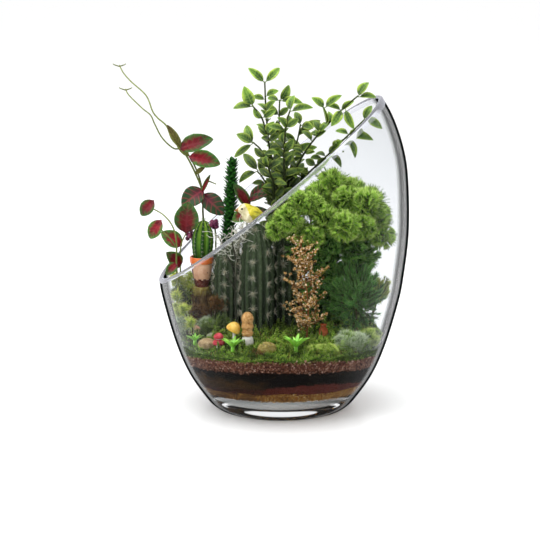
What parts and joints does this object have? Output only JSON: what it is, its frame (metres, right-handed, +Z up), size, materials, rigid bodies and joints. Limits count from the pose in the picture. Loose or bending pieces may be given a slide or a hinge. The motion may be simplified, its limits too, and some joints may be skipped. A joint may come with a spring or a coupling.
{
  "type": "glass plant terrarium",
  "caption": "Open glass terrarium: an egg-shaped vase with a slanted mouth, layered sand, clay, soil and grit, moss, cacti, leafy stems and small ornaments.",
  "frame": {"origin": "middle of the flat underside of the glass", "axes": "+Z up; +X towards the high side of the slanted mouth; -Y is the front"},
  "size_m": [0.2349, 0.203, 0.2747],
  "materials": {
    "glass": "clear pressed glass, polished rim",
    "golden_sand": "loose golden brown sand",
    "red_clay": "crumbled red clay",
    "black_soil": "damp black potting soil",
    "red_grit": "red-brown gravel grit",
    "bed_moss": "living moss",
    "bark": "rough bark",
    "terracotta_glaze": "matt orange glaze",
    "short_cactus": "waxy cactus skin",
    "grey_cactus": "dull grey-green cactus skin, pale spines",
    "column_cactus": "dark green cactus skin",
    "pale_twig": "dry bleached twig",
    "berries": "glossy berry skin",
    "dark_needles": "dark green needles",
    "yellow_green_moss": "soft feathery moss",
    "frosty_moss": "frosted grey-green moss",
    "lime_moss": "lime moss",
    "dried_spray": "dried seed heads",
    "tan_stone": "smooth pebble",
    "grey_stone": "smooth pebble",
    "olive_stone": "smooth pebble",
    "pink_stone": "smooth pebble",
    "pale_glaze": "pale glaze",
    "tan_resin": "painted resin",
    "yellow_resin": "painted resin",
    "red_resin": "painted resin",
    "terracotta": "fired clay",
    "bird_resin": "painted resin",
    "box_leaf": "leathery leaf",
    "red_leaf": "leathery red and green leaf",
    "fan_foliage": "soft ruffled foliage",
    "lime_leaf": "soft strap leaf"
  },
  "bodies": {
    "root": {"berry_twig": "berries", "bird_figure": "bird_resin", "clay_layer": "red_clay", "column_cactus": "column_cactus", "dried_spray": "dried_spray", "fan_frond_left": "fan_foliage", "fan_frond_right": "fan_foliage", "fan_frond_top": "fan_foliage", "frosty_moss": "frosty_moss", "glass_vessel": "glass", "grey_green_pebble": "grey_stone", "grit_layer": "red_grit", "leafy_stem_arm": "box_leaf", "leafy_stem_back": "box_leaf", "leafy_stem_crown": "box_leaf", "leafy_stem_front": "box_leaf", "leafy_stem_left": "box_leaf", "leafy_stem_long": "box_leaf", "leafy_stem_low_left": "box_leaf", "leafy_stem_short": "box_leaf", "leafy_stem_side": "box_leaf", "lime_moss_front": "lime_moss", "lime_moss_right": "lime_moss", "lime_rosette_left": "lime_leaf", "lime_rosette_middle": "lime_leaf", "lime_rosette_right": "lime_leaf", "log_stump": "bark", "moss_bed": "bed_moss", "moss_sprigs": "yellow_green_moss", "needle_bush": "dark_needles", "olive_pebble": "olive_stone", "orange_pot": "terracotta_glaze", "pale_thorn_twig": "pale_twig", "pink_pebble": "pink_stone", "pot_cactus": "short_cactus", "pot_soil": "black_soil", "red_leaf_stem_arching": "red_leaf", "red_leaf_stem_back": "red_leaf", "red_leaf_stem_low": "red_leaf", "red_leaf_stem_upper": "red_leaf", "red_toadstools": "red_resin", "sand_layer": "golden_sand", "soil_layer": "black_soil", "spined_cactus_left": "grey_cactus", "spined_cactus_middle": "grey_cactus", "spined_cactus_right": "grey_cactus", "tan_pebble": "tan_stone", "terracotta_jar": "terracotta", "toadstool_body": "tan_resin", "toadstool_foot": "pale_glaze", "yellow_green_tuft": "yellow_green_moss", "yellow_toadstool": "yellow_resin"}
  },
  "joints": []
}
